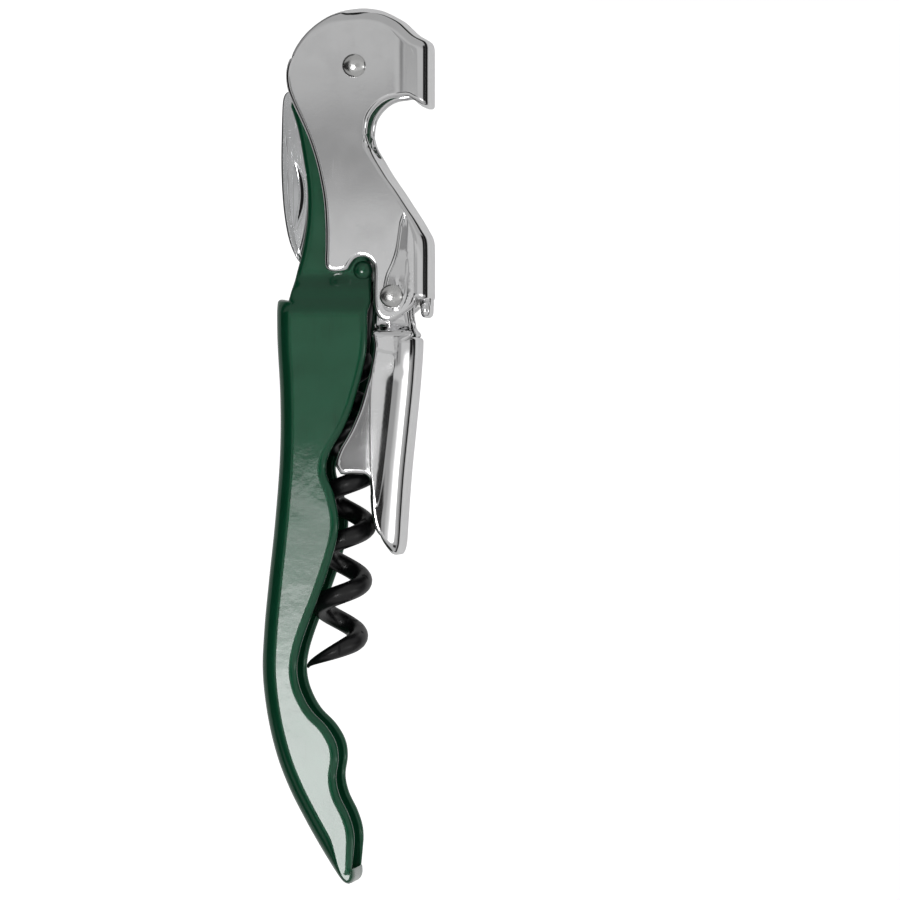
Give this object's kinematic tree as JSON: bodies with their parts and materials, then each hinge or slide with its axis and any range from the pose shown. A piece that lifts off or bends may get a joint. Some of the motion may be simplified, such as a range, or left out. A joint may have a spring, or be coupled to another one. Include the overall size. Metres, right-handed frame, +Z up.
{
  "type": "lever corkscrew",
  "caption": "Folding double-hinged lever corkscrew: painted steel handle, plated levers with a cap lifter and bottle feet, coated worm and a serrated foil blade.",
  "frame": {"origin": "middle of the tool's outline, on the surface that it lies on", "axes": "+Y along the tool toward the rivet of the head, +X from the handle's spine toward the levers, +Z up through the thickness of the tool as it lies on its side"},
  "size_m": [0.0233, 0.1214, 0.0124],
  "materials": {
    "green_paint": "gloss dark green stoving enamel on folded steel sheet",
    "lever_chrome": "bright chrome plate on folded steel sheet",
    "rivet_steel": "polished nickel-plated rivet heads",
    "blade_steel": "satin-ground stainless blade steel",
    "inner_steel": "plain bright steel",
    "black_coating": "semi-gloss black low-friction coating on steel wire"
  },
  "bodies": {
    "handle_body": {"handle": "green_paint", "head_rivet": "rivet_steel", "worm_pin": "rivet_steel", "worm_spacers": "inner_steel", "knife_spacers": "inner_steel"},
    "upper_lever_body": {"upper_lever": "lever_chrome", "lever_rivet": "rivet_steel", "lever_spacer": "inner_steel", "lever_spring": "inner_steel"},
    "lower_lever_body": {"lower_lever": "lever_chrome"},
    "worm_body": {"worm": "black_coating"},
    "knife_body": {"foil_knife": "blade_steel"}
  },
  "joints": [
    {"name": "lever_hinge", "type": "hinge", "parent": "handle_body", "child": "upper_lever_body", "pos_m": [0.00134, 0.05267, 0.0062], "axis": [0, 0, 1], "range_deg": [0, 105]},
    {"name": "lower_lever_hinge", "type": "hinge", "parent": "upper_lever_body", "child": "lower_lever_body", "pos_m": [0.00654, 0.02077, 0.0062], "axis": [0, 0, 1], "range_deg": [0, 45]},
    {"name": "worm_hinge", "type": "hinge", "parent": "handle_body", "child": "worm_body", "pos_m": [0.00234, 0.02438, 0.0062], "axis": [0, 0, 1], "range_deg": [0, 94.5]},
    {"name": "knife_hinge", "type": "hinge", "parent": "handle_body", "child": "knife_body", "pos_m": [0.00134, 0.05267, 0.0062], "axis": [0, 0, -1], "range_deg": [0, 165]}
  ],
  "couplings": [
    {"joint": "worm_hinge", "follows": "lever_hinge", "ratio": 0.9}
  ]
}
